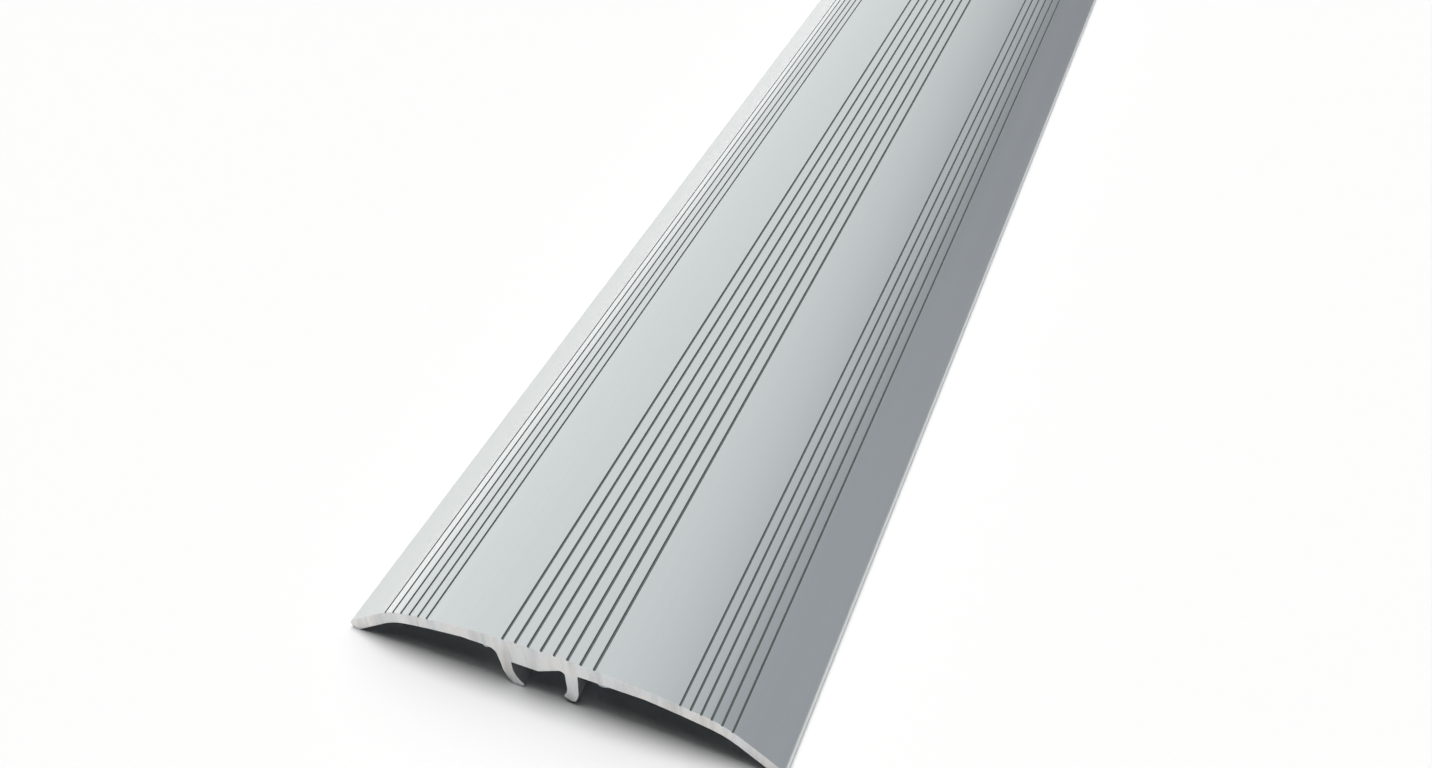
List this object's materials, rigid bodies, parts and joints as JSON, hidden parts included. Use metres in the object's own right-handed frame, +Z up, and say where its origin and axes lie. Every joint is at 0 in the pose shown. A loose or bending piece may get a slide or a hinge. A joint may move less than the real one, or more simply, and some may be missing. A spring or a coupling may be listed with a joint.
{
  "type": "threshold strip",
  "caption": "Arched, grooved aluminium threshold strip with a clip socket underneath, on a row of concealed ball-head screws in nylon plugs that set its height, tilt and place.",
  "frame": {"origin": "on the middle fixing's axis, at the floor's surface", "axes": "+X across the strip towards the footed jaw, +Y along the strip, +Z up out of the floor"},
  "size_m": [0.0829, 0.93, 0.0541],
  "materials": {
    "anodised_aluminium": "silver satin anodised, fine lengthwise brushing, plain sawn ends",
    "cap_nylon": "natural moulded nylon",
    "zinc_steel": "bright zinc plate",
    "plug_nylon": "grey moulded nylon"
  },
  "bodies": {
    "plugs": {"wall_plug_1": "plug_nylon", "wall_plug_2": "plug_nylon", "wall_plug_3": "plug_nylon", "wall_plug_4": "plug_nylon", "wall_plug_5": "plug_nylon", "wall_plug_6": "plug_nylon", "wall_plug_7": "plug_nylon"},
    "screws": {"ball_screw_1": "zinc_steel", "ball_screw_2": "zinc_steel", "ball_screw_3": "zinc_steel", "ball_screw_4": "zinc_steel", "ball_screw_5": "zinc_steel", "ball_screw_6": "zinc_steel", "ball_screw_7": "zinc_steel"},
    "caps": {"clip_cap_1": "cap_nylon", "clip_cap_2": "cap_nylon", "clip_cap_3": "cap_nylon", "clip_cap_4": "cap_nylon", "clip_cap_5": "cap_nylon", "clip_cap_6": "cap_nylon", "clip_cap_7": "cap_nylon"},
    "strip": {"strip_profile": "anodised_aluminium"}
  },
  "joints": [
    {"name": "height", "type": "slide", "parent": "plugs", "child": "screws", "axis": [0, 0, 1], "range_m": [0, 0.012]},
    {"name": "tilt", "type": "hinge", "parent": "screws", "child": "caps", "pos_m": [0, 0, 0.0035], "axis": [0, 1, 0], "range_deg": [-12, 12]},
    {"name": "shift", "type": "slide", "parent": "caps", "child": "strip", "axis": [0, 1, 0], "range_m": [-0.05, 0.05]}
  ]
}
